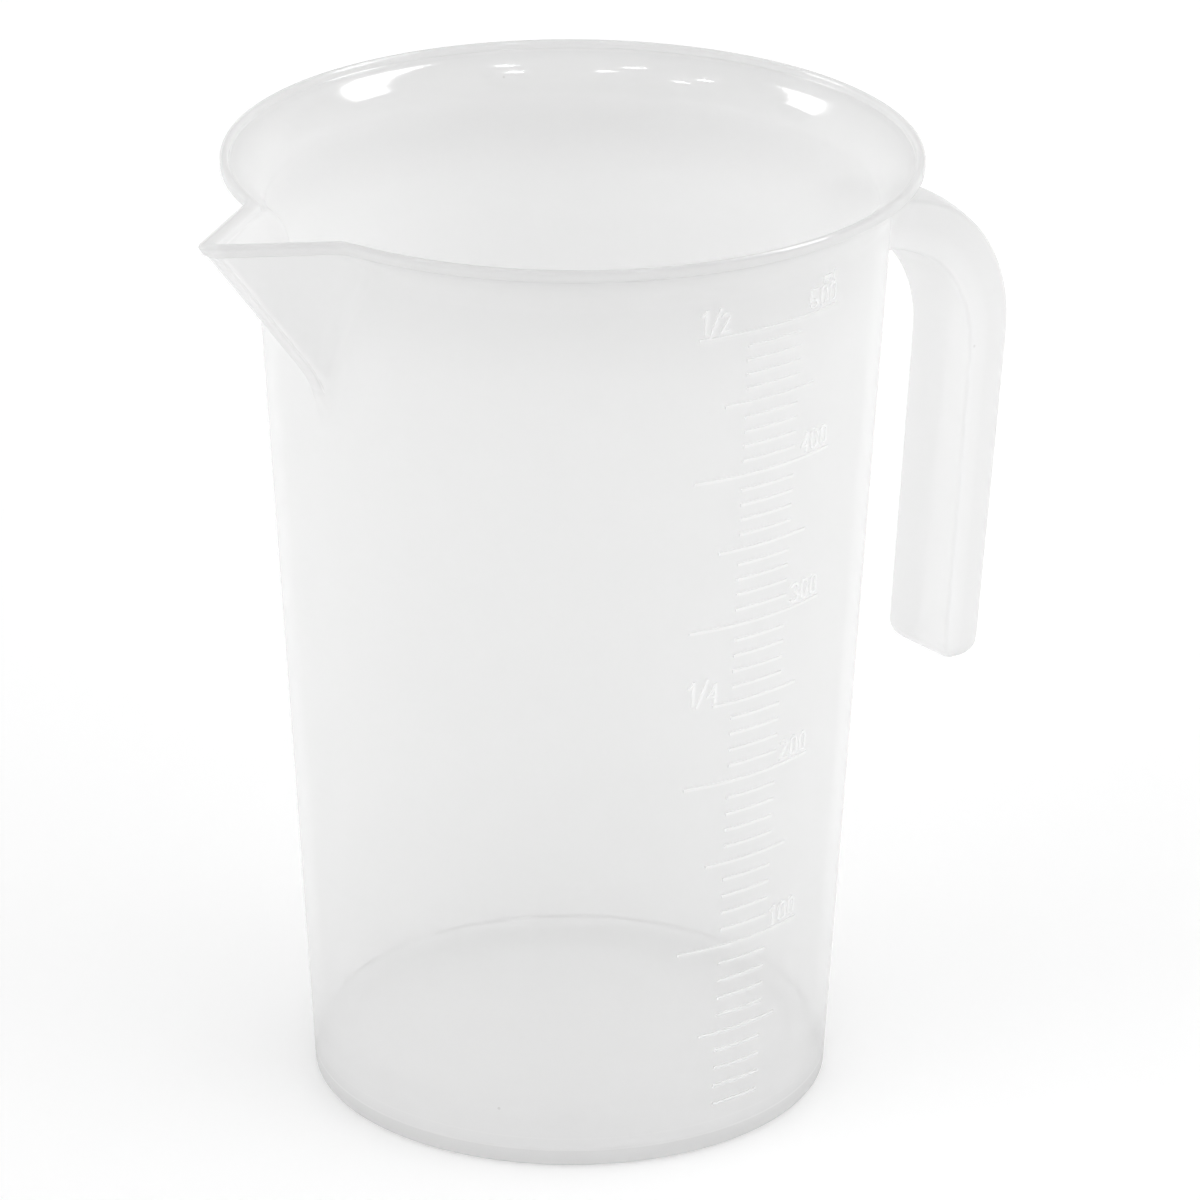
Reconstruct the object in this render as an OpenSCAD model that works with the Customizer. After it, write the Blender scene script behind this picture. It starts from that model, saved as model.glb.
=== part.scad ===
// Half-litre measuring jug: tapered round body, flared mouth, pouring spout, hook handle and raised scale.
// The origin is the middle of the base on the table. +Z is up, the spout points along -X,
// the handle points along +X and the scale faces -Y.

/* [Body] */
// Height from the table to the top of the lip
jug_h = 132; // [118:1:150]
// Outer diameter of the wall where it meets the table
base_d = 70.4; // [64:0.2:76]
// Outer diameter that the straight wall would have at the top of the lip
top_d = 85.4; // [81:0.2:88]
// Thickness of the wall
wall = 1.7; // [1.2:0.1:2.2]
// Thickness of the floor
floor_t = 1.5; // [1:0.1:3]
// Height of the hollow under the floor
foot_h = 2.5; // [1.5:0.1:5]
// Width of the ring that the jug stands on
foot_w = 2.2; // [1.8:0.1:5]
// Rounding of the heel where the ring meets the table
heel_r = 0.3; // [0.2:0.1:1.2]
// Radius between the floor and the wall on the inside
floor_fillet = 2.2; // [0.5:0.1:5]

/* [Rim] */
// How far the lip stands out beyond the line of the straight wall at the top
rim_out = 3.8; // [2.6:0.1:6]
// Height of the upright lip on the outside
lip_h = 1.4; // [1:0.1:2.5]
// Thickness of the lip
lip_t = 1.2; // [0.8:0.1:1.6]
// Height of the flare under the lip
flare_h = 5.6; // [4.5:0.1:9]
// How much higher the flare meets the lip on the inside than on the outside
flare_step = 0.4; // [0.1:0.1:0.6]

/* [Spout] */
// How far the spout's tip stands out beyond the lip
spout_out = 13.9; // [9:0.1:19]
// Half of the angle between the spout's sides, seen from above
spout_half_angle = 33; // [28:1:40]
// Distance from the top of the lip down to where the keel meets the wall
spout_drop = 24.8; // [17:0.5:30]
// Thickness of the spout's sides
spout_t = 1.2; // [0.8:0.1:1.8]
// Radius along the bottom of the spout's channel
channel_r = 0.7; // [0.2:0.1:1.2]

/* [Handle] */
// Width of the handle
handle_w = 12.4; // [9:0.2:18]
// Thickness of the handle along its middle line
handle_t = 7.8; // [6.5:0.1:9]
// Crown of the handle's outer face
handle_crown = 0.8; // [0.3:0.1:1.2]
// Bevel of the handle's long edges
handle_bevel = 0.5; // [0.2:0.1:1]
// Distance from the top of the lip down to the top of the arm
arm_drop = 16; // [12:0.2:36]
// How far the bend stands out beyond the line of the straight wall at the top
handle_out = 30.9; // [28:0.1:40]
// Inner radius of the bend
bend_r = 15.3; // [10:0.1:18]
// Lean of the grip towards the jug, in degrees from upright
grip_lean = 4.6; // [0:0.1:6]
// Height of the grip's free end above the table
grip_end_z = 43.2; // [25:0.2:60]
// Thickness that the grip loses on each face down to its free end
grip_taper = 0.4; // [0:0.1:0.8]
// Rounding of the free end's two corners, seen from the front
grip_corner_r = 3; // [1:0.1:4]

/* [Scale] */
// Distance from the flare's lower edge down to the highest mark
mark_gap = 5.15; // [5.1:0.05:12]
// Angle round the wall of the marks at every tenth of the smallest numbered step
short_mark_angle = 12.2; // [6:0.2:14]
// Angle round the wall of the marks half way between the numbers
middle_mark_angle = 20.6; // [16:0.2:24]
// Angle round the wall of the numbered marks
long_mark_angle = 31.8; // [28:0.2:40]
// Width of a mark's line
mark_w = 0.4; // [0.3:0.05:0.8]
// Height of the marks and numerals above the wall
relief = 0.25; // [0.15:0.05:0.5]
// Height of the numerals
digit_h = 2.9; // [2.4:0.1:3.2]
// Width of a numeral
digit_w = 1.5; // [1.3:0.1:1.8]
// Width of a numeral's stroke
stroke = 0.36; // [0.25:0.01:0.45]
// Height of the fractions of a litre
fraction_h = 3.6; // [2.8:0.1:3.8]

/* [Hidden] */

$fn = 96;
plastic = [0.92, 0.93, 0.94];
margin = 1;
base_r = base_d / 2;
rim_r = top_d / 2 + rim_out;
slope = (top_d - base_d) / 2 / jug_h;
floor_z = foot_h + floor_t;
lip_z = jug_h - lip_h;
flare_z = lip_z - flare_h;
function outer_r(z) = base_r + slope * z;
function inner_r(z) = outer_r(z) - wall;

// The fillet circle inside touches the floor and the sloping wall
wall_stretch = sqrt(1 + slope * slope);
fillet_z = floor_z + floor_fillet;
fillet_x = inner_r(fillet_z) - floor_fillet * wall_stretch;
fillet_end = [fillet_x + floor_fillet / wall_stretch, fillet_z - floor_fillet * slope / wall_stretch];

// The flare's two faces are arcs that leave the wall upright and end at the lip
function arc_r(across, up) = (across * across + up * up) / (2 * across);
lip_in_r = rim_r - lip_t;
lip_in_z = lip_z + flare_step;
flare_out_r = arc_r(rim_r - outer_r(flare_z), lip_z - flare_z);
flare_in_r = arc_r(lip_in_r - inner_r(flare_z), lip_in_z - flare_z);

// The spout is a V section drawn along its keel
spout_reach = rim_r + spout_out;
keel_r = channel_r + spout_t;
keel_foot_z = jug_h - spout_drop;
keel_angle = atan2(spout_drop, spout_reach - outer_r(keel_foot_z));
vee_half_angle = atan2(tan(spout_half_angle), sin(keel_angle));
vee_side = spout_reach / 2;
nose_steps = 12;
keel_below = spout_drop / sin(keel_angle) + 2 * wall;
keel_above = spout_reach;

// The bend's centre follows from how far the handle stands out and from the arm's height
bend_x = top_d / 2 + handle_out - handle_t - bend_r;
bend_z = jug_h - arm_drop - handle_t - bend_r;
handle_half = handle_w / 2;
crown_half = handle_half - handle_bevel;
crown_r = arc_r(handle_crown, crown_half);
grip_drop = bend_z - (bend_r + handle_t / 2) * sin(grip_lean) - grip_end_z;
grip_len = grip_drop / cos(grip_lean);
taper_angle = atan2(grip_taper, grip_len);

// Each mark holds an equal share of the volume under the highest one
mark_count = 50;
number_step = 10;
top_mark_z = flare_z - mark_gap;
top_cube = pow(inner_r(top_mark_z), 3) - pow(inner_r(floor_z), 3);
function mark_r(n) = pow(pow(inner_r(floor_z), 3) + top_cube * n / mark_count, 1 / 3);
function mark_z(n) = (mark_r(n) - inner_r(0)) / slope;
digit_gap = stroke * 1.2;
text_lift = mark_w / 2 + stroke;
number_right = long_mark_angle / 2;
fraction_left = -long_mark_angle / 2;
unit_h = digit_h * 0.43;

// Ring section between two heights of the wall's outer face, standing out by a given depth
module face_band(z0, z1, depth) {
    polygon([[outer_r(z0), z0], [outer_r(z0) + depth, z0], [outer_r(z1) + depth, z1], [outer_r(z1), z1]]);
}

// Everything inside the outer face of the wall, flare and lip
module jug_outside() {
    rotate_extrude() {
        polygon([[0, -margin], [outer_r(-margin), -margin], [outer_r(flare_z), flare_z], [0, flare_z]]);
        difference() {
            translate([0, flare_z]) square([rim_r, flare_h]);
            translate([outer_r(flare_z) + flare_out_r, flare_z]) circle(r = flare_out_r);
        }
        translate([0, lip_z]) square([rim_r, lip_h + margin]);
    }
}

// V section of the spout, with its nose at the origin and opening along +X
module vee(nose_r) {
    side = [cos(vee_half_angle), sin(vee_half_angle)];
    turn = 180 - 2 * vee_half_angle;
    nose = [for (i = [0 : nose_steps]) let (a = 90 + vee_half_angle + turn * i / nose_steps)
        [keel_r + nose_r * cos(a), nose_r * sin(a)]];
    far = nose[0] + vee_side * side;
    polygon(concat([far], nose, [[far[0], -far[1]]]));
}

// The V section drawn along the keel, from under the wall to above the lip
module along_keel(nose_r) {
    translate([-spout_reach, 0, jug_h])
        rotate([0, keel_angle - 90, 0])
            translate([0, 0, -keel_below]) linear_extrude(keel_below + keel_above) vee(nose_r);
}

module channel() {
    along_keel(channel_r);
}

module foot_ring() {
    color(plastic) rotate_extrude() difference() {
        polygon([[base_r - foot_w, 0], [base_r, 0], [outer_r(foot_h), foot_h], [base_r - foot_w, foot_h]]);
        difference() {
            translate([base_r - heel_r, -margin]) square([heel_r + margin, heel_r + margin]);
            translate([base_r - heel_r, heel_r]) circle(r = heel_r);
        }
    }
}

module base_floor() {
    color(plastic) rotate_extrude() {
        polygon([[0, foot_h], [inner_r(foot_h), foot_h], [inner_r(floor_z), floor_z], [0, floor_z]]);
        difference() {
            polygon([[fillet_x, floor_z], [inner_r(floor_z), floor_z], fillet_end, [fillet_x, fillet_z]]);
            translate([fillet_x, fillet_z]) circle(r = floor_fillet);
        }
    }
}

module body_wall() {
    color(plastic) difference() {
        rotate_extrude() polygon([[inner_r(foot_h), foot_h], [outer_r(foot_h), foot_h],
            [outer_r(flare_z), flare_z], [inner_r(flare_z), flare_z]]);
        channel();
    }
}

module rim_flare() {
    color(plastic) difference() {
        rotate_extrude() difference() {
            intersection() {
                translate([inner_r(flare_z) + flare_in_r, flare_z]) circle(r = flare_in_r);
                translate([inner_r(flare_z), flare_z])
                    square([rim_r - inner_r(flare_z), lip_in_z - flare_z]);
            }
            translate([outer_r(flare_z) + flare_out_r, flare_z]) circle(r = flare_out_r);
        }
        channel();
    }
}

module rim_lip() {
    round_r = lip_t * 0.4;
    color(plastic) difference() {
        rotate_extrude() {
            translate([lip_in_r, lip_in_z]) square([lip_t, jug_h - round_r - lip_in_z]);
            translate([lip_in_r + round_r, lip_in_z]) square([lip_t - 2 * round_r, jug_h - lip_in_z]);
            for (x = [lip_in_r + round_r, rim_r - round_r])
                translate([x, jug_h - round_r]) circle(r = round_r);
        }
        channel();
    }
}

module pour_spout() {
    color(plastic) difference() {
        along_keel(keel_r);
        channel();
        jug_outside();
        translate([-2 * spout_reach, -spout_reach, jug_h])
            cube([2 * spout_reach, 2 * spout_reach, 2 * spout_reach]);
    }
}

// Section of the handle: the inner face lies on X = 0 and the crowned outer face at +X
module handle_section() {
    b = handle_bevel;
    bevel_x = handle_t - handle_crown - b;
    over = handle_crown + b + margin;
    lower = [[bevel_x + over, over - handle_half], [bevel_x, -handle_half],
        [b, -handle_half], [0, b - handle_half]];
    upper = [for (i = [3 : -1 : 0]) [lower[i][0], -lower[i][1]]];
    intersection() {
        translate([handle_t - crown_r, 0]) circle(r = crown_r);
        polygon(concat(lower, upper));
    }
}

module handle_arm() {
    root_x = sqrt(pow(inner_r(bend_z), 2) - pow(handle_half, 2));
    color(plastic) difference() {
        translate([bend_x, 0, bend_z + bend_r]) rotate([0, -90, 0])
            linear_extrude(bend_x - root_x) handle_section();
        cylinder(h = flare_z, r1 = base_r, r2 = outer_r(flare_z));
    }
}

module handle_bend() {
    color(plastic) translate([bend_x, 0, bend_z]) rotate([90, 0, 0]) rotate([0, 0, -grip_lean])
        rotate_extrude(angle = 90 + grip_lean) translate([bend_r, 0]) handle_section();
}

// The handle's section drawn along the grip and turned about its middle at the bend
module grip_run(turn) {
    translate([handle_t / 2, 0, 0]) rotate([0, turn, 0]) translate([-handle_t / 2, 0, -margin])
        linear_extrude(grip_len + 2 * margin) handle_section();
}

// Side view of the grip, whose free end is a half round
module grip_side() {
    r = handle_t / 2 - grip_taper;
    translate([-margin, 0]) square([handle_t + 2 * margin, grip_len - r]);
    translate([handle_t / 2, grip_len - r]) circle(r = r);
}

// Front view of the grip, with its two free corners rounded
module grip_front() {
    r = grip_corner_r;
    translate([-handle_half, 0]) square([handle_w, grip_len - r]);
    translate([r - handle_half, 0]) square([handle_w - 2 * r, grip_len]);
    for (x = [r - handle_half, handle_half - r]) translate([x, grip_len - r]) circle(r = r);
}

module handle_grip() {
    color(plastic) translate([bend_x, 0, bend_z]) rotate([0, grip_lean, 0]) rotate([180, 0, 0])
        translate([bend_r, 0, 0]) intersection() {
            grip_run(taper_angle);
            grip_run(-taper_angle);
            translate([0, handle_w, 0]) rotate([90, 0, 0]) linear_extrude(2 * handle_w) grip_side();
            translate([-margin, 0, 0]) rotate([0, 90, 0]) rotate([0, 0, 90])
                linear_extrude(handle_t + 2 * margin) grip_front();
        }
}

// One raised line at the height of mark n
module mark(n, angle) {
    z = mark_z(n);
    rotate([0, 0, -90 - angle / 2]) rotate_extrude(angle = angle)
        face_band(z - mark_w / 2, z + mark_w / 2, relief);
}

module short_marks() {
    color(plastic) for (n = [1 : mark_count]) if (n % (number_step / 2) != 0) mark(n, short_mark_angle);
}

module middle_marks() {
    color(plastic) for (n = [number_step / 2 : number_step : mark_count]) mark(n, middle_mark_angle);
}

module long_marks() {
    color(plastic) for (n = [number_step : number_step : mark_count]) mark(n, long_mark_angle);
}

// Straight stroke between two points of a numeral
module line(a, b) {
    turn = atan2(b[1] - a[1], b[0] - a[0]);
    translate(a) rotate(turn) translate([0, -stroke / 2]) square([norm(b - a), stroke]);
}

// Part of a ring of a numeral, between two directions that are less than half a turn apart
module bow(centre, r, from, to) {
    reach = 3 * r;
    middle = (from + to) / 2;
    translate(centre) intersection() {
        difference() {
            circle(r = r);
            circle(r = r - stroke);
        }
        polygon([[0, 0], reach * [cos(from), sin(from)], reach * [cos(middle), sin(middle)],
            reach * [cos(to), sin(to)]]);
    }
}

module zero(w, h) {
    r = w / 2;
    bow([r, h - r], r, 0, 90);
    bow([r, h - r], r, 90, 180);
    bow([r, r], r, 180, 270);
    bow([r, r], r, 270, 360);
    for (x = [0, w - stroke]) translate([x, r]) square([stroke, h - w]);
}

module one(w, h) {
    translate([w / 2, 0]) square([stroke, h]);
    flag = [w * 0.15, h * 0.72];
    line([w / 2 + stroke / 2, h - stroke], flag);
}

module two(w, h) {
    r = w / 2;
    bow([r, h - r], r, 0, 90);
    hook = 75;
    bow([r, h - r], r, 90, 90 + hook);
    line([stroke / 2, stroke / 2], [w - stroke / 2, h - r]);
    square([w, stroke]);
}

module three(w, h) {
    r = (h + stroke) / 4;
    for (y = [r, h - r]) {
        bow([w - r, y], r, -90, 0);
        bow([w - r, y], r, 0, 90);
    }
    hook = 70;
    bow([w - r, h - r], r, 90, 90 + hook);
    bow([w - r, r], r, 270 - hook, 270);
}

module four(w, h) {
    stem_x = w * 0.66;
    bar_y = h * 0.28;
    translate([stem_x, 0]) square([stroke, h]);
    translate([0, bar_y]) square([w, stroke]);
    line([stroke / 2, bar_y + stroke / 2], [stem_x + stroke / 2, h - stroke / 2]);
}

module five(w, h) {
    r = w / 2;
    translate([0, h - stroke]) square([w, stroke]);
    translate([0, 2 * r - stroke]) square([stroke, h - 2 * r + stroke]);
    translate([0, 2 * r - stroke]) square([r, stroke]);
    bow([r, r], r, 0, 90);
    bow([r, r], r, -90, 0);
    hook = 80;
    bow([r, r], r, 270 - hook, 270);
}

module digit(d, w, h) {
    if (d == 0) zero(w, h);
    if (d == 1) one(w, h);
    if (d == 2) two(w, h);
    if (d == 3) three(w, h);
    if (d == 4) four(w, h);
    if (d == 5) five(w, h);
}

// Stands a flat drawing on the wall, in relief, with its own origin at an angle from -Y and a height
module on_wall(angle, z, h) {
    color(plastic) intersection() {
        rotate([0, 0, angle]) translate([0, -inner_r(z), z]) rotate([90, 0, 0])
            linear_extrude(2 * wall + slope * h + relief) children();
        rotate_extrude() face_band(z - margin, z + h + margin, relief);
    }
}

// Numeral of a hundred's mark, whose right end lies over the mark's right end
module numeral(hundreds) {
    pitch = digit_w + digit_gap;
    on_wall(number_right, mark_z(hundreds * number_step) + text_lift, digit_h)
        for (i = [0 : 2]) translate([(i - 3) * pitch, 0]) digit(i == 0 ? hundreds : 0, digit_w, digit_h);
}

module unit_mark() {
    z = mark_z(mark_count) + text_lift + digit_h + stroke;
    m_h = unit_h * 0.72;
    m_w = digit_w * 1.1;
    on_wall(number_right, z, unit_h) translate([-2 * digit_w - digit_gap, 0]) {
        for (i = [0 : 2]) translate([i * (m_w - stroke) / 2, 0]) square([stroke, m_h]);
        translate([0, m_h - stroke]) square([m_w, stroke]);
        translate([m_w + digit_gap, 0]) square([stroke, unit_h]);
    }
}

// One part in so many of a litre, over the left end of a mark
module fraction(n, parts) {
    lower_h = fraction_h * 0.8;
    on_wall(fraction_left, mark_z(n) + text_lift, fraction_h) {
        digit(1, digit_w, fraction_h);
        line([digit_w, -stroke], [2 * digit_w, fraction_h]);
        translate([2 * digit_w, 0]) digit(parts, digit_w, lower_h);
    }
}

foot_ring();
base_floor();
body_wall();
rim_flare();
rim_lip();
pour_spout();
handle_arm();
handle_bend();
handle_grip();
short_marks();
middle_marks();
long_marks();
numeral(1);  // numeral_100
numeral(2);  // numeral_200
numeral(3);  // numeral_300
numeral(4);  // numeral_400
numeral(5);  // numeral_500
unit_mark();
fraction(mark_count / 2, 4);  // quarter_mark
fraction(mark_count, 2);  // half_mark
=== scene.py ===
import math
import bmesh
import bpy
from mathutils import Matrix, Vector


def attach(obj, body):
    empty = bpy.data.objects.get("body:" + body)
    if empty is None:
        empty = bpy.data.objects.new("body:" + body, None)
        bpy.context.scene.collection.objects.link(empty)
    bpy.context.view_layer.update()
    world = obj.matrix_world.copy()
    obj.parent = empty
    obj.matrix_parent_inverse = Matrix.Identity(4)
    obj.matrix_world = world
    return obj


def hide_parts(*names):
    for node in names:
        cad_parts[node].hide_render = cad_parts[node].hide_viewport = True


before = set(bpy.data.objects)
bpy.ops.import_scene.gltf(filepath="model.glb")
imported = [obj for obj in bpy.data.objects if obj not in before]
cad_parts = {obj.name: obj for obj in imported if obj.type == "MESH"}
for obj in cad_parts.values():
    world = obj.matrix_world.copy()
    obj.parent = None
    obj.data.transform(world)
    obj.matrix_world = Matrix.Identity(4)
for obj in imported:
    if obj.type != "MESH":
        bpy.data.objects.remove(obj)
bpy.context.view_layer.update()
mm = 0.001
weld = 1e-7  # points nearer than this, in metres, become one
print("frame: loaded", len(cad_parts), "nodes")


class Wire:
    # one socket that can stand in a sum; each sum adds a Math node
    def __init__(self, tree, socket):
        self.tree = tree
        self.socket = socket

    def maths(self, how, first, second):
        made = self.tree.nodes.new("ShaderNodeMath")
        made.operation = how
        for place, value in zip(made.inputs, (first, second)):
            if isinstance(value, Wire):
                self.tree.links.new(value.socket, place)
            else:
                place.default_value = value
        return Wire(self.tree, made.outputs[0])

    def __add__(self, other):
        return self.maths("ADD", self, other)

    def __radd__(self, other):
        return self.maths("ADD", other, self)

    def __sub__(self, other):
        return self.maths("SUBTRACT", self, other)

    def __rsub__(self, other):
        return self.maths("SUBTRACT", other, self)

    def __mul__(self, other):
        return self.maths("MULTIPLY", self, other)

    def __rmul__(self, other):
        return self.maths("MULTIPLY", other, self)

    def __gt__(self, other):
        return self.maths("GREATER_THAN", self, other)

    def __lt__(self, other):
        return self.maths("LESS_THAN", self, other)


class NodeBench:
    # makes the nodes of one material, or of the world
    def __init__(self, owner):
        owner.use_nodes = True
        self.tree = owner.node_tree
        self.tree.nodes.clear()

    def node(self, kind, settings=None, sockets=None, out=0):
        made = self.tree.nodes.new("ShaderNode" + kind)
        for name, value in (settings or {}).items():
            setattr(made, name, value)
        for name, value in (sockets or {}).items():
            if isinstance(value, Wire):
                self.tree.links.new(value.socket, made.inputs[name])
            else:
                made.inputs[name].default_value = value
        return Wire(self.tree, made.outputs[out]) if made.outputs else None

    def mixColour(self, share, first, second):
        return self.node("Mix", {"data_type": "RGBA"}, {0: share, 6: first, 7: second}, 2)

    def larger(self, first, second):
        return self.node("Math", {"operation": "MAXIMUM"}, {0: first, 1: second})

    def fade(self, value, start, end):
        # 1 up to the start, 0 from the end on
        settings = {"interpolation_type": "SMOOTHSTEP"}
        return self.node("MapRange", settings, {0: value, 1: start, 2: end, 3: 1.0, 4: 0.0})


def grey(level):
    return (level, level, level, 1)


# what all of the plastic shares
plastic = {
    "cloudScale": 38.0,  # broad, weak changes of tone
    "grainScale": 1500.0,
    "swellScale": 120.0,
    "grain": 0.25,  # height of the grain beside the swell's
    "bump": 0.06,
    "bumpDepth": 0.0004,
    "cloudGloss": 0.06,
    "grainGloss": 0.03,
    "dustScale": 105.0,
    "dustSize": 0.022,
    "dustless": 0.72,  # share of the cells that hold no speck
    "dustColour": (0.30, 0.29, 0.27, 1),
    # painted shade: the fine dark lines where the wall turns into the floor
    "lineColour": grey(0.30),
    "lineMilk": 0.3,
    "lineShade": 0.9,  # how much of the glow a fine line takes away
    "clearest": 0.9,
    # painted shade on the keel's round nose and along its edges
    "keelNose": 0.25,
    "keelEdge": 0.9,
    "keelEdgeWidth": 0.13,
    "refraction": 1.55,
    "specular": 1.0,
}


def naturalPlastic(name, finish, keelLine=None):
    # milky uncoloured polypropylene: cloudy, faintly grained, lets light and some sight through
    material = bpy.data.materials.new(name)
    bench = NodeBench(material)
    place = bench.node("TexCoord", out=3)

    def noise(scale, detail):
        return bench.node("TexNoise", None, {"Vector": place, "Scale": scale, "Detail": detail})

    def mark(what):
        # a number that the mesh holds at each of its points
        return bench.node("Attribute", {"attribute_name": what}, out=2)

    cloud = noise(plastic["cloudScale"], 1.0)
    grain = noise(plastic["grainScale"], 0.0)
    swell = noise(plastic["swellScale"], 0.0)
    cells = {"Vector": place, "Scale": plastic["dustScale"]}
    spread = bench.node("TexVoronoi", None, cells)
    pick = bench.node("SeparateColor", None, {"Color": bench.node("TexVoronoi", None, cells, 1)})
    dust = (spread < plastic["dustSize"]) * (pick > plastic["dustless"])
    paintedShade, line, clear = mark("paintedShade"), mark("line"), mark("clear")
    if keelLine:
        # painted shade: a fine dark line where the flat sides of the spout meet its round keel
        keel = mark("keel")
        sideways = bench.node("SeparateXYZ", None, {0: place}, 1)
        across = bench.node("Math", {"operation": "ABSOLUTE"}, {0: sideways})
        nose = keel * (across < keelLine * mm)
        edge = keel * (across < (keelLine + plastic["keelEdgeWidth"]) * mm) - nose
        paintedShade = paintedShade + nose * plastic["keelNose"] + edge * plastic["keelEdge"]
    tone = bench.mixColour(cloud, grey(finish["tone"]), grey(finish["cloudTone"]))
    # painted shade: where the mesh's paintedShade value is high the tone darkens, and the plastic is made
    # less clear and glows less
    tone = bench.mixColour(paintedShade, tone, grey(finish["paintedShadeTone"]))
    # painted shade along the fine lines
    tone = bench.mixColour(line, tone, plastic["lineColour"])
    tone = bench.mixColour(dust * finish["dust"], tone, plastic["dustColour"])
    milk = finish["milk"] + paintedShade * (finish["paintedShadeMilk"] - finish["milk"]) + line * plastic["lineMilk"]
    milk = milk * (1 - clear * plastic["clearest"])
    glow = finish["glow"] + paintedShade * (finish["paintedShadeGlow"] - finish["glow"])
    glow = glow * (1 - line * plastic["lineShade"])
    height = grain * plastic["grain"] + swell
    bump = bench.node("Bump", None, {
        "Strength": plastic["bump"], "Distance": plastic["bumpDepth"], "Height": height})
    gloss = finish["roughness"] + (cloud - 0.5) * plastic["cloudGloss"]
    gloss = gloss + (grain - 0.5) * plastic["grainGloss"]
    skin = bench.node("BsdfPrincipled", None, {
        "Base Color": tone, "Roughness": gloss, "Normal": bump,
        "IOR": plastic["refraction"], "Specular IOR Level": plastic["specular"]})
    led = bench.node("BsdfTranslucent", None, {"Color": grey(finish["glowTone"])})
    body = bench.node("MixShader", None, {0: glow, 1: skin, 2: led})
    sight = bench.node("BsdfTransparent", None, {"Color": grey(1)})
    surface = bench.node("MixShader", None, {0: milk, 1: sight, 2: body})
    bench.node("OutputMaterial", None, {"Surface": surface})
    return material


def meshPiece(name, points, faces, material, marks):
    shape = bpy.data.meshes.new(name)
    shape.from_pydata([Vector(p) * mm for p in points], [], faces)
    for what, values in marks.items():
        shape.attributes.new(what, "FLOAT", "POINT").data.foreach_set("value", values)
    work = bmesh.new()
    work.from_mesh(shape)
    bmesh.ops.remove_doubles(work, verts=work.verts, dist=weld)
    bmesh.ops.recalc_face_normals(work, faces=work.faces)
    work.to_mesh(shape)
    work.free()
    shape.shade_smooth()
    shape.materials.append(material)
    piece = bpy.data.objects.new(name, shape)
    bpy.context.scene.collection.objects.link(piece)
    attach(piece, "root")
    return piece


def span(first, last, count):
    return [first + (last - first) * i / (count - 1) for i in range(count)]


def ramp(value, start, end, level=1):
    # 0 at the start, the level at the end, eased at both
    share = min(max((value - start) / (end - start), 0), 1)
    return level * share * share * (3 - 2 * share)


def blendUp(a, b, soft):
    # the larger of two lengths, with a rounded change from one to the other
    near = max(soft - abs(a - b), 0) / soft
    return max(a, b) + near * near * soft / 4


def blendDown(a, b, soft):
    return -blendUp(-a, -b, soft)


def arc(r, z, across, up, first, last, count):
    return [(r + across * math.cos(a), z + up * math.sin(a)) for a in span(first, last, count)]


quarter = math.pi / 2

# the jug's own shape in millimetres, as in the part
jug = {
    "height": 132.0,
    "baseRadius": 35.2,
    "topRadius": 42.7,  # where the straight wall would end at the top
    "wall": 1.7,
    "floorTop": 4.0,
    "floorFillet": 2.2,
    "footHeight": 2.5,
    "footWidth": 2.2,
    "recessRound": 0.3,
    "footRound": 0.2,
    "heel": 0.3,
    "heelFlat": 0.6,
    "rimRadius": 46.49,
    "rimSoft": 0.3,
    "lipHeight": 1.4,
    "lipThick": 1.2,
    "lipRound": 0.48,
    "lipSoft": 0.12,
    "flareHeight": 5.6,
    "flareStep": 0.4,
    "columns": ((0, 4.75, 20), (5, 17.5, 26), (18, 178.5, 108)),  # degrees from the spout, how many
    "cornerSteps": 3,
    "roundSteps": 5,
    "filletSteps": 23,
    "finish": {
        "tone": 0.90, "cloudTone": 0.87, "paintedShadeTone": 0.62, "glowTone": 0.88,
        "glow": 0.60, "paintedShadeGlow": 0.42, "milk": 0.48, "paintedShadeMilk": 0.74,
        "roughness": 0.08, "dust": 0.6},
    # painted shade, which also makes the plastic less clear: from which height to which, and how much
    "upperWall": (94, 122, 0.25),
    "upperFlare": (124, 129, 0.10),
    "innerWall": (111, 123.5, 0.80),
    "innerFlare": (124.5, 127, -0.20),
    "foot": (2.6, 2.2, 1.0),
    "strip": (9, 4, 0.25),
    "lip": (-0.1, 0.05, 0.9),  # from the lip's foot up
    "innerLip": (0.1, 0.3, 0.4),
    "creaseHeight": 0.3,
    "creaseHalf": 0.25,
    "crease": 0.9,
    "lipTop": 0.7,
    "lipInsideTop": 0.5,
    "heelFlatShade": 0.3,
    "floorEdge": (16, 29, 0.5),  # by radius
    "cloudyWall": (36, 5, -0.6),  # the lower wall's outside is less clear
    "outerSkin": 0.8,  # what lies further out than this from the inner face is outside
    # fine dark lines of painted shade inside: radius and height, half width, strength
    "innerLines": (((33.24, 4.7), 0.42, 1.6), ((30.1, 4.0), 0.5, 1.0)),
    # and one fine dark line of painted shade outside
    "outerLine": (4.1, 0.13, 0.2),  # height, half width, strength
}
spout = {
    "reach": 60.4,
    "halfAngle": math.radians(33),
    "drop": 24.8,
    "thick": 1.75,
    "channel": 0.15,  # radius along the bottom of the channel
    "channelSoft": 0.7,
    "lipStep": (-0.25, 0.05, 0.27),  # the lip stands proud of the keel
    "lipBlend": 1.0,  # how softly the spout runs into the wall at the lip
    "lowBlend": 2.5,  # added lower down
    "sideBlend": (0.09, 0.25, 4.5),  # and added away from the keel
    "blendHeight": 16.0,
    "edge": (-0.4, 0.6),  # where the wall's painted shade gives way to the spout's
    "innerPaintedShade": 0.25,
    "keelLine": 1.36,  # half the width of the keel's round nose
    "keelFrom": 108.5,
    "keelGap": 0.3,  # below the lip
    "keelProud": 0.6,
    "keelSkin": 0.5,
    "runOut": 0.45,  # painted shade where the keel runs out into the wall
    "runOutSize": 2.2,
    "runOutRadius": 41.3,
}

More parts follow.
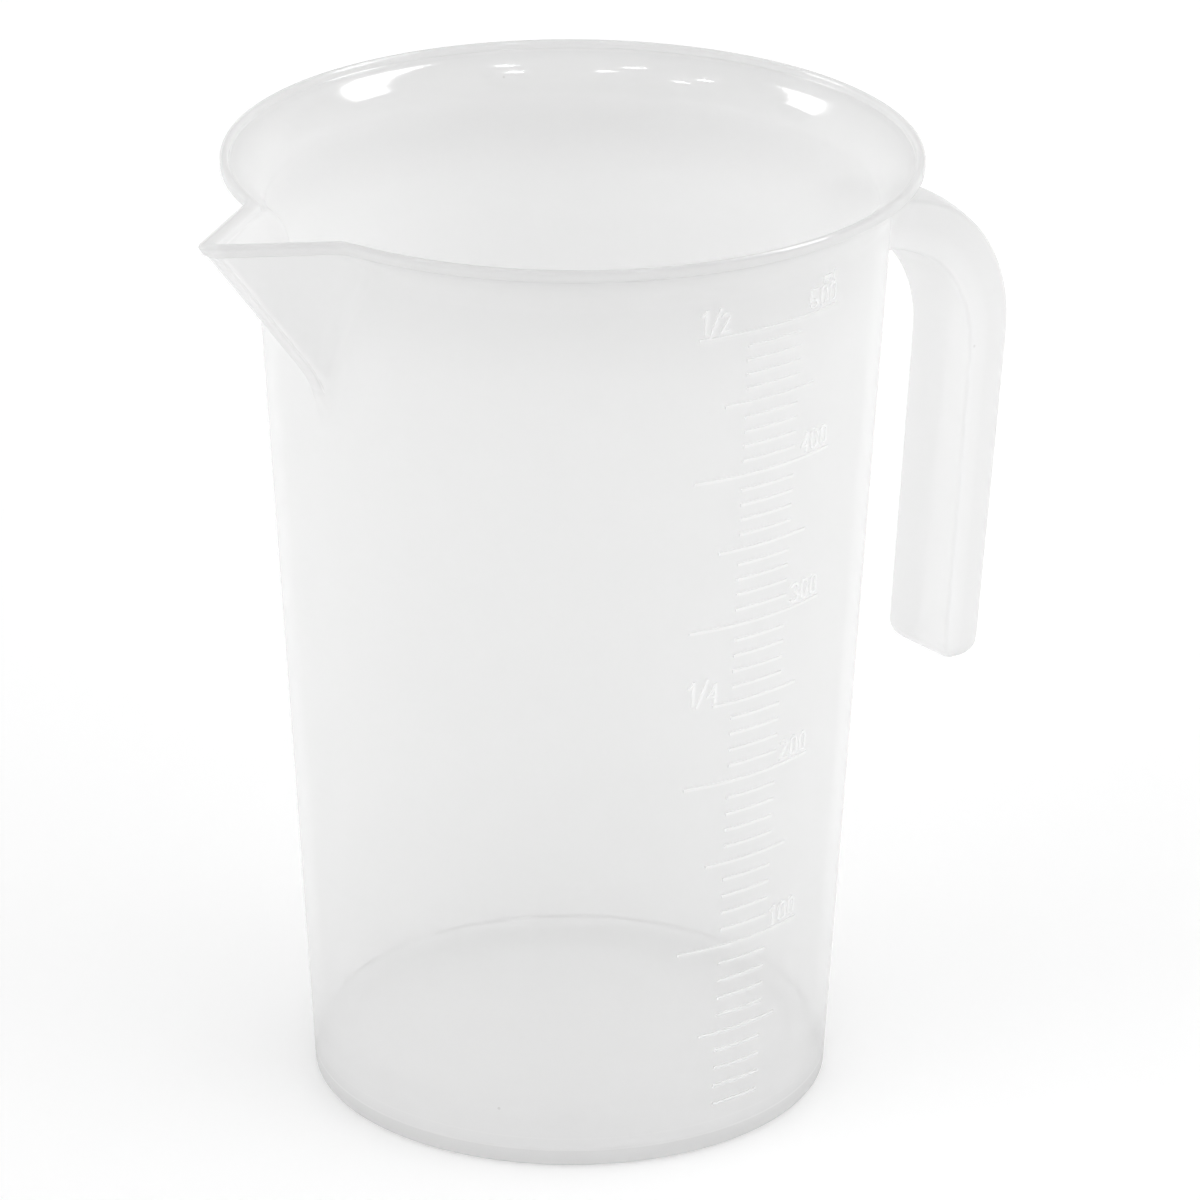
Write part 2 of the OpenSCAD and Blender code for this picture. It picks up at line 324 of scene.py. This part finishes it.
slope = (jug["topRadius"] - jug["baseRadius"]) / jug["height"]
lipFoot = jug["height"] - jug["lipHeight"]
flareFoot = lipFoot - jug["flareHeight"]
lipInside = jug["rimRadius"] - jug["lipThick"]

# heights of the section's points, close together where the shape or the finish changes
underRings = [8, 18, 27]
footRows = [1.2, 2.2, 2.4, 2.6, 3.2, 3.85, 3.98, 4.1, 4.22, 4.35, 4.7]
lowRows = span(6, 12, 5) + span(14, 22, 5) + span(25, 40, 6)
wallRows = [45, 60, 75, 88, 96, 100, 102, 103.5]
spoutRows = span(104.5, 124.6, 46)
flareRows = span(125, 130.2, 16)
lipRows = [130.35, 130.5, 130.65, 130.8, 131.0, 131.25]
innerLipRows = [131.35, 131.2, 131.1, 131.03, 130.96, 130.88, 130.75, 130.55]
innerFlareRows = span(130.25, 125, 16)
innerLowRows = [30, 15, 9, 7]
floorRings = [30.8, 30.4, 30.2, 30.0, 29.8, 29.4, 28, 26, 24, 22, 20, 18, 8]


def wallOutside(z):
    return jug["baseRadius"] + slope * z


def wallInside(z):
    return wallOutside(z) - jug["wall"]


def flareArc(z, across, up):
    # an arc that leaves the wall upright and swings out
    radius = (across * across + up * up) / (2 * across)
    rise = min(max(z - flareFoot, 0), radius)
    return radius - math.sqrt(radius * radius - rise * rise)


def bodyOutside(z):
    foot = wallOutside(min(z, flareFoot))
    out = foot + flareArc(z, jug["rimRadius"] - wallOutside(flareFoot), jug["flareHeight"])
    return blendDown(out, jug["rimRadius"], jug["rimSoft"])


def bodyInside(z):
    foot = wallInside(min(z, flareFoot))
    out = foot + flareArc(z, lipInside - wallInside(flareFoot), jug["flareHeight"] + jug["flareStep"])
    return blendDown(out, lipInside, jug["lipSoft"])


keelAngle = math.atan2(spout["drop"], spout["reach"] - wallOutside(jug["height"] - spout["drop"]))
keelNose = spout["channel"] + spout["thick"]
veeAngle = math.atan2(math.tan(spout["halfAngle"]), math.sin(keelAngle))


def spoutOut(turn, z, nose):
    # how far out the spout's V reaches at a turn from the keel; the V is round at its nose
    if abs(turn) > quarter:
        return 0
    keel = spout["reach"] - (jug["height"] - z) / math.tan(keelAngle)
    centre = keel * math.sin(keelAngle) - keelNose
    if centre <= 0:
        return 0
    ahead, beside = math.cos(turn) * math.sin(keelAngle), abs(math.sin(turn))
    veeSin, veeCos = math.sin(veeAngle), math.cos(veeAngle)
    side = (nose + centre * veeSin) / (ahead * veeSin + beside * veeCos)
    if side * beside * veeSin - (side * ahead - centre) * veeCos >= 0:
        return side
    square, middle = ahead * ahead + beside * beside, ahead * centre
    rest = middle * middle - square * (centre * centre - nose * nose)
    return (middle + math.sqrt(max(rest, 0))) / square


def shellOutside(turn, z):
    lower = min(max((jug["height"] - z) / spout["blendHeight"], 0), 1)
    soft = spout["lipBlend"] + (spout["lowBlend"] + ramp(abs(turn), *spout["sideBlend"])) * lower
    nose = keelNose + ramp(z - lipFoot, *spout["lipStep"])
    return blendUp(bodyOutside(z), spoutOut(turn, z, nose), soft)


def shellInside(turn, z):
    return blendUp(bodyInside(z), spoutOut(turn, z, spout["channel"]), spout["channelSoft"])


# painted shade on the outer face: upper wall, flare, lip, foot and the keel's foot
def outsidePaintedShade(turn, z):
    onSpout = ramp(spoutOut(turn, z, keelNose) - bodyOutside(z), *spout["edge"])
    upper = ramp(z, *jug["upperWall"]) + ramp(z, *jug["upperFlare"])
    lower = max(ramp(z, *jug["foot"]), ramp(z, *jug["strip"]))
    keelFoot = (0, jug["height"] - spout["drop"])
    away = math.dist((turn * spout["runOutRadius"], z), keelFoot) / spout["runOutSize"]
    runOut = spout["runOut"] * math.exp(-away * away)
    return max(upper * (1 - onSpout), lower, runOut, ramp(z - lipFoot, *jug["lip"]))


# painted shade on the inner face: upper wall, flare, lip and the crease under it
def insidePaintedShade(turn, z):
    onSpout = ramp(spoutOut(turn, z, spout["channel"]) - bodyInside(z), *spout["edge"])
    upper = ramp(z, *jug["innerWall"]) + ramp(z, *jug["innerFlare"])
    crease = max(1 - abs(z - lipFoot - jug["creaseHeight"]) / jug["creaseHalf"], 0)
    lip = max(ramp(z - lipFoot, *jug["innerLip"]), jug["crease"] * crease)
    return max(upper * (1 - onSpout), spout["innerPaintedShade"] * onSpout, lip)


def fineLine(r, z):
    # painted shade: two fine dark lines inside and one outside where the wall turns into the floor
    near = [level * (1 - math.dist((r, z), at) / half) for at, half, level in jug["innerLines"]]
    if r > wallInside(z) + jug["outerSkin"]:
        height, half, level = jug["outerLine"]
        near.append(level * (1 - abs(z - height) / half))
    return min(max(*near, 0), 1)


def cloudiness(r, z):
    return ramp(z, *jug["cloudyWall"]) if r > wallInside(z) + jug["outerSkin"] else 0


def onKeel(turn, r, z):
    # the outer faces of the spout, below the lip
    proud = r > bodyOutside(z) + spout["keelProud"] and r > shellInside(turn, z) + spout["keelSkin"]
    return 1 if proud and spout["keelFrom"] < z < lipFoot - spout["keelGap"] else 0


def shellSection(turn):
    # one closed run from the middle of the underside, over the lip, to the middle of the floor;
    # each point has a radius, a height and how much painted shade it carries there
    foot, high = jug["baseRadius"] - jug["footWidth"], jug["footHeight"]
    top, low, heel = jug["recessRound"], jug["footRound"], jug["heel"]
    corner, steps = jug["cornerSteps"], jug["roundSteps"]
    recess = [(r, high) for r in underRings]
    recess += arc(foot - top, high - top, top, top, quarter, 0, corner)
    recess += arc(foot + low, low, low, low, math.pi, 3 * quarter, corner)
    run = [(r, z, 0) for r, z in recess]
    # painted shade on the heel's flat and its rounding
    run.append((jug["baseRadius"] - heel - jug["heelFlat"], 0, jug["heelFlatShade"]))
    run += [(r, z, 1) for r, z in arc(wallOutside(heel) - heel, heel, heel, heel, -quarter, 0, steps)]
    for z in footRows + lowRows + wallRows + spoutRows + flareRows + lipRows:
        run.append((shellOutside(turn, z), z, outsidePaintedShade(turn, z)))
    lift = jug["lipRound"]
    edge = jug["height"] - lift
    outEdge, inEdge = shellOutside(turn, edge), shellInside(turn, edge)
    part = (outEdge - inEdge) * lift / jug["lipThick"]
    run += [(r, z, jug["lipTop"]) for r, z in arc(outEdge - part, edge, part, lift, 0, quarter, steps)]
    inner = arc(inEdge + part, edge, part, lift, quarter, math.pi, steps)
    run += [(r, z, jug["lipInsideTop"]) for r, z in inner]
    for z in innerLipRows + innerFlareRows + spoutRows[::-1] + wallRows[::-1] + innerLowRows:
        run.append((shellInside(turn, z), z, insidePaintedShade(turn, z)))
    fillet = jug["floorFillet"]
    middleZ = jug["floorTop"] + fillet
    middleR = wallInside(middleZ) - fillet * math.sqrt(1 + slope * slope)
    turnIn = arc(middleR, middleZ, fillet, fillet, -math.atan(slope), -quarter, jug["filletSteps"])
    run += [(r, z, 0) for r, z in turnIn]
    return run + [(r, jug["floorTop"], ramp(r, *jug["floorEdge"])) for r in floorRings]


def makeShell():
    # columns lie close together at the spout and wider apart round the back
    half = [a for part in jug["columns"] for a in span(*part)]
    turns = [math.radians(a) for a in [-a for a in half[:0:-1]] + half + [180]]
    sections = [shellSection(turn) for turn in turns]
    points, faces = [], []
    marks = {"paintedShade": [], "keel": [], "line": [], "clear": []}
    for turn, run in zip(turns, sections):
        for r, z, paintedShade in run:
            points.append((-r * math.cos(turn), -r * math.sin(turn), z))
            marks["paintedShade"].append(paintedShade)
            marks["keel"].append(onKeel(turn, r, z))
            marks["line"].append(fineLine(r, z))
            marks["clear"].append(cloudiness(r, z))
    under, floor = len(points), len(points) + 1
    points += [(0, 0, jug["footHeight"]), (0, 0, jug["floorTop"])]
    for values in marks.values():
        values += [0, 0]
    rows, columns = len(sections[0]), len(turns)
    for c in range(columns):
        here, there = c * rows, (c + 1) % columns * rows
        faces += [(here + i, there + i, there + i + 1, here + i + 1) for i in range(rows - 1)]
        faces += [(under, there, here), (here + rows - 1, there + rows - 1, floor)]
    material = naturalPlastic("shell_plastic", jug["finish"], spout["keelLine"])
    return meshPiece("jug_shell", points, faces, material, marks)


shell = makeShell()
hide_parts("foot_ring", "base_floor", "body_wall", "rim_flare", "rim_lip", "pour_spout")
print("shell: one moulding with", len(shell.data.polygons), "faces")

handle = {
    "width": 12.4,
    "outerBend": (50.8, 93.2, 22.8),  # centre and radius of the outer face's arc, seen from the side
    "innerBend": (48.4, 91.1, 17.25),
    "outerLean": math.radians(5.07),
    "innerLean": math.radians(4.05),
    "tip": (65.77, 43.2),
    "lean": math.radians(4.6),
    "tipRadius": 3.5,
    "tipCorner": 3.0,  # rounding of the end's corners, seen from the front
    "crown": 0.8,
    "innerEdge": 0.6,
    "outerEdge": 0.9,
    "crownShare": 0.12,  # no rounding takes more than its share of a thin section
    "innerShare": 0.3,
    "outerShare": 0.35,
    "widthShare": 0.4,
    "rootFillet": 0.8,
    "rootPlane": 42.2,
    "rootSteps": (-0.03, 0.08, 0.2, 0.4, 0.8, 1.4, 2.2, 3.2, 4.4),  # away from the wall
    "rootStraight": (0.8, 5.4),  # where the root's round end turns straight
    "rootClear": (10, 0.2),  # the arm is clearer towards the wall
    "faceSteps": 7,  # points across half of the section's outer face
    "edgeSteps": 6,
    "sideSteps": 5,
    "backSteps": 6,
    "bendSteps": 30,
    "gripSteps": 15,
    "endAngles": (12, 24, 36, 47, 57, 66, 73, 79, 84, 88),
    # painted shade, which also makes the plastic less clear: on the sides, and over the top of the arm
    "sideEdge": (0.92, 1),
    "sideLeast": 0.5,
    "sideRise": (0.05, 0.5, 0.5),
    "topFace": (0.5, 0.9),
    "topHeight": (92, 110),
    "finish": {
        "tone": 0.97, "cloudTone": 0.95, "paintedShadeTone": 0.68, "glowTone": 0.98,
        "glow": 0.65, "paintedShadeGlow": 0.42, "milk": 0.66, "paintedShadeMilk": 0.76,
        "roughness": 0.12, "dust": 0.5},
}


def handleRing(thick, halfWidth):
    # section points (distance from the inner face, sideways), once round
    crown = min(handle["crown"], handle["crownShare"] * thick)
    most = handle["widthShare"] * halfWidth
    inner = min(handle["innerEdge"], handle["innerShare"] * thick, most)
    outer = min(handle["outerEdge"], handle["outerShare"] * thick, most)
    side = halfWidth - outer
    half = [(thick - crown * (y / side) ** 2, y) for y in span(0, side, handle["faceSteps"])]
    half += arc(thick - crown - outer, side, outer, outer, 0, quarter, handle["edgeSteps"])[1:]
    half += [(x, halfWidth) for x in span(thick - crown - outer, inner, handle["sideSteps"])[1:-1]]
    half += arc(inner, halfWidth - inner, inner, inner, quarter, math.pi, handle["edgeSteps"])
    half += [(0, y) for y in span(halfWidth - inner, 0, handle["backSteps"])[1:]]
    return half + [(x, -y) for x, y in reversed(half[1:-1])]


def between(first, second, share):
    return [p + (q - p) * share for p, q in zip(first, second)]


def rootClearing(away):
    return ramp(away, *handle["rootClear"])


def makeHandle():
    outX, outZ, outerR = handle["outerBend"]
    inX, inZ, innerR = handle["innerBend"]
    half = handle["width"] / 2
    rings = []
    marks = {"paintedShade": [], "clear": []}

    def addRing(inPoint, outPoint, halfWidth, clearing=0):
        thick = math.dist(inPoint, outPoint)
        ring = []
        for x, y in handleRing(thick, halfWidth):
            share = x / thick
            px, pz = between(inPoint, outPoint, share)
            # painted shade on the side faces and over the top of the arm
            side = handle["sideLeast"] + ramp(share, *handle["sideRise"])
            side *= ramp(abs(y) / halfWidth, *handle["sideEdge"])
            top = ramp(share, *handle["topFace"]) * ramp(pz, *handle["topHeight"])
            marks["paintedShade"].append(max(side, top) * (1 - clearing))
            marks["clear"].append(clearing)
            ring.append((px, y, pz))
        rings.append(ring)

    fillet = handle["rootFillet"]
    low, high = inZ + innerR, outZ + outerR
    start, end = handle["rootStraight"]
    for away in handle["rootSteps"]:
        # the root follows the wall and swells onto it
        grow = fillet - math.sqrt(fillet ** 2 - max(fillet - max(away, 0), 0) ** 2)
        flat = min(max((away - start) / (end - start), 0), 1)
        addRing((0, low - grow), (0, high + grow), half + grow, rootClearing(away))
        straight = flat * (handle["rootPlane"] + away)
        rings[-1] = [((1 - flat) * (math.sqrt(wallOutside(z) ** 2 - y * y) + away) + straight, y, z)
                     for _, y, z in rings[-1]]
    for share in span(0, 1, handle["bendSteps"] + 1):
        a = quarter - (quarter + handle["innerLean"]) * share
        b = quarter - (quarter + handle["outerLean"]) * share
        inPoint = (inX + innerR * math.cos(a), inZ + innerR * math.sin(a))
        outPoint = (outX + outerR * math.cos(b), outZ + outerR * math.sin(b))
        addRing(inPoint, outPoint, half, rootClearing(inPoint[0] - handle["rootPlane"]))
    down = (-math.sin(handle["lean"]), -math.cos(handle["lean"]))
    outward = (-down[1], down[0])
    tip, r = handle["tip"], handle["tipRadius"]

    def endPoint(below, beside):
        # a point of the free end, from the centre of its half round
        return [t + d * (below - r) + o * beside for t, d, o in zip(tip, down, outward)]

    for share in span(0, 1, handle["gripSteps"] + 1)[1:]:
        addRing(between(inPoint, endPoint(0, -r), share), between(outPoint, endPoint(0, r), share), half)
    corner = handle["tipCorner"]
    for a in handle["endAngles"]:
        # the free end is a half round with rounded corners
        below, beside = r * math.sin(math.radians(a)), r * math.cos(math.radians(a))
        cut = max(corner - (r - below), 0)
        narrow = half - corner + math.sqrt(corner ** 2 - cut ** 2)
        addRing(endPoint(below, -beside), endPoint(below, beside), narrow)
    points = [p for ring in rings for p in ring]
    count = len(rings[0])
    faces = []
    for i in range(len(rings) - 1):
        for j in range(count):
            k = (j + 1) % count
            faces.append((i * count + j, i * count + k, (i + 1) * count + k, (i + 1) * count + j))
    last = (len(rings) - 1) * count
    for j in range(count // 2):
        # the last ring is closed across its narrow slit
        opposite = [last + (count - k) % count for k in (j + 1, j)]
        faces.append(tuple(dict.fromkeys([last + j, last + j + 1] + opposite)))
    return meshPiece("jug_handle", points, faces, naturalPlastic("handle_plastic", handle["finish"]), marks)


grip = makeHandle()
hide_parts("handle_arm", "handle_bend", "handle_grip")
print("handle: one hook with", len(grip.data.polygons), "faces")

scale = {
    "nodes": ["short_marks", "middle_marks", "long_marks", "unit_mark", "quarter_mark", "half_mark",
              "numeral_100", "numeral_200", "numeral_300", "numeral_400", "numeral_500"],
    "finish": {
        "tone": 0.97, "cloudTone": 0.95, "paintedShadeTone": 0.90, "glowTone": 0.97,
        "glow": 0.50, "paintedShadeGlow": 0.50, "milk": 0.47, "paintedShadeMilk": 0.47,
        "roughness": 0.12, "dust": 0.0},
}
scalePlastic = naturalPlastic("scale_plastic", scale["finish"])
for name in scale["nodes"]:
    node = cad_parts[name]
    node.data.materials.clear()
    node.data.materials.append(scalePlastic)
print("scale:", len(scale["nodes"]), "raised groups finished")

studio = {
    "floorTone": 0.90,
    "fibreTone": 0.92,
    "fibreScale": 900.0,
    "floorSide": 4.0,
    "floorDrop": 0.0003,  # just under the foot
    "floorLift": 0.13,  # light of its own that only sight meets, so that the floor is white
    "underLift": 0.07,  # painted light: the floor glows a little under the jug, standing in for light led down by the plastic
    "underEdge": (0.031, 0.036),
    "fill": 4.0,  # low white panels on both of the camera's sides
    "frontFill": 1.1,  # and behind the camera
    "ceiling": 0.72,
    "mirrorDim": 0.05,  # how bright the dim studio is in a reflection
    "mirrorBackdrop": 0.95,  # and the backdrop
    "away": (0.627, 0.779, 0.0),  # from the camera across the table
    "backdrop": (0.391, 0.920, 0.0),  # middle of the backdrop
    "frontEdge": (-0.2, 0.2),
    "behindCamera": (-0.95, -0.6),
    "panelTop": (0.34, 0.5),
    "backdropSides": (0.34, 0.44),
    "backdropTop": (0.72, 0.84),
    "strips": {
        "right": {"place": (0.617, -0.171, 0.892), "along": (-0.12, 0.717, 0.214),
                  "size": (0.85, 0.22), "power": 0.95, "sheen": 6.5},
        "left": {"place": (-0.387, 0.676, 0.740), "along": (0.49, 0.0, 0.34),
                 "size": (0.55, 0.24), "power": 0.15, "sheen": 4.0},
    },
    "sheenNearer": 0.98,  # a strip's sheen stands just in front of it
    "ceilingLamps": ((23, 75), (-8, 59), (-56, 60), (-84, 71), (-86, 43), (-105, 52)),  # turn and tilt
    "lampDistance": 1.2,
    "lampSize": (0.10, 0.05),
    "lampSheen": 0.7,
    "lampCentre": (0, 0, 0.13),
    "aim": (0, 0, 0.12),
}


def sightRays(bench):
    # rays from the camera, and rays that carry a reflection or pass clear glass, but no milky light
    camera = bench.node("LightPath")
    through = bench.node("LightPath", out=6) * (1 - bench.node("LightPath", out=2))
    return camera, bench.larger(bench.node("LightPath", out=3), through)


def makeFloor():
    material = bpy.data.materials.new("floor_paper")
    bench = NodeBench(material)
    place = bench.node("TexCoord", out=3)
    fibre = bench.node("TexNoise", None, {"Vector": place, "Scale": studio["fibreScale"], "Detail": 3.0})
    tone = bench.mixColour(fibre, grey(studio["floorTone"]), grey(studio["fibreTone"]))
    paper = bench.node("BsdfDiffuse", None, {"Color": tone})
    fromMiddle = bench.node("VectorMath", {"operation": "LENGTH"}, {0: place}, 1)
    # painted light: under the jug the floor glows for every ray
    under = bench.fade(fromMiddle, *studio["underEdge"])
    lift = bench.larger(*sightRays(bench)) * studio["floorLift"] + under * studio["underLift"]
    shine = bench.node("Emission", None, {"Color": bench.mixColour(lift, grey(0), grey(1))})
    bench.node("OutputMaterial", None, {"Surface": bench.node("AddShader", None, {0: paper, 1: shine})})
    side, drop = studio["floorSide"], studio["floorDrop"]
    corners = [(x * side, y * side, -drop) for x, y in ((-1, -1), (1, -1), (1, 1), (-1, 1))]
    shape = bpy.data.meshes.new("floor")
    shape.from_pydata(corners, [], [(0, 1, 2, 3)])
    shape.materials.append(material)
    floor = bpy.data.objects.new("floor", shape)
    bpy.context.scene.collection.objects.link(floor)


def makeWorld():
    world = bpy.data.worlds.new("studio")
    bpy.context.scene.world = world
    bench = NodeBench(world)
    look = bench.node("TexCoord")
    rise = bench.node("SeparateXYZ", None, {0: look}, 2)

    def towards(direction):
        return bench.node("VectorMath", {"operation": "DOT_PRODUCT"}, {0: look, 1: direction}, 1)

    facing = towards(studio["away"])
    front = bench.fade(facing, *studio["frontEdge"]) * bench.fade(rise, *studio["panelTop"])
    centre = bench.fade(facing, *studio["behindCamera"])
    fill = studio["fill"] + centre * (studio["frontFill"] - studio["fill"])
    panels = studio["ceiling"] + front * (fill - studio["ceiling"])
    beside = bench.fade(towards(studio["backdrop"]), *studio["backdropSides"])
    behind = (1 - beside) * bench.fade(rise, *studio["backdropTop"])
    around = studio["mirrorDim"] + behind * (studio["mirrorBackdrop"] - studio["mirrorDim"])
    camera, mirrored = sightRays(bench)
    light = panels + mirrored * (around - panels)
    level = light + camera * (1 - light)
    sky = bench.node("Background", None, {"Color": grey(1), "Strength": level})
    bench.node("OutputWorld", None, {"Surface": sky})


def lamp(name, place, along, size, power, onlyMirrored=False):
    # a flat lamp that faces the jug, its long side laid along a direction
    light = bpy.data.lights.new(name, "AREA")
    light.shape = "RECTANGLE"
    light.size, light.size_y = size
    light.energy = power
    box = bpy.data.objects.new(name, light)
    back = (Vector(place) - Vector(studio["aim"])).normalized()
    across = Vector(along) - back * back.dot(Vector(along))
    across.normalize()
    turned = Matrix((across, back.cross(across), back)).transposed().to_4x4()
    box.matrix_world = Matrix.Translation(place) @ turned
    box.visible_diffuse = box.visible_transmission = not onlyMirrored
    bpy.context.scene.collection.objects.link(box)


def makeLamps():
    for name, strip in studio["strips"].items():
        place, laid, size = strip["place"], strip["along"], strip["size"]
        lamp("strip_" + name, place, laid, size, strip["power"])
        nearer = Vector(place) * studio["sheenNearer"]
        lamp("strip_" + name + "_sheen", nearer, laid, size, strip["sheen"], True)
    for number, (turn, tilt) in enumerate(studio["ceilingLamps"]):
        turn, tilt = math.radians(turn), math.radians(tilt)
        away = Vector((math.sin(turn) * math.cos(tilt), -math.cos(turn) * math.cos(tilt), math.sin(tilt)))
        place = away * studio["lampDistance"] + Vector(studio["lampCentre"])
        laid = (math.cos(turn), math.sin(turn), 0)
        lamp(f"ceiling_lamp_{number}", place, laid, studio["lampSize"], studio["lampSheen"], True)


makeFloor()
makeWorld()
makeLamps()
print("studio: floor, white panels, two strip lamps and six ceiling lamps")

view = {
    "place": (-0.56237, -0.704468, 0.447595),
    "right": (0.78009, -0.625648, 0.004868),
    "up": (0.239499, 0.305789, 0.921484),
    "back": (-0.578014, -0.717675, 0.388385),
    "lens": 217.0,
    "sensor": 36.0,
}
lens = bpy.data.cameras.new("photo_camera")
lens.lens = view["lens"]
lens.sensor_width = view["sensor"]
camera = bpy.data.objects.new("photo_camera", lens)
turned = Matrix((view["right"], view["up"], view["back"])).transposed().to_4x4()
camera.matrix_world = Matrix.Translation(view["place"]) @ turned
bpy.context.scene.collection.objects.link(camera)
bpy.context.scene.camera = camera
bpy.context.scene.view_settings.view_transform = "Standard"
print("camera: at the photograph's angle")
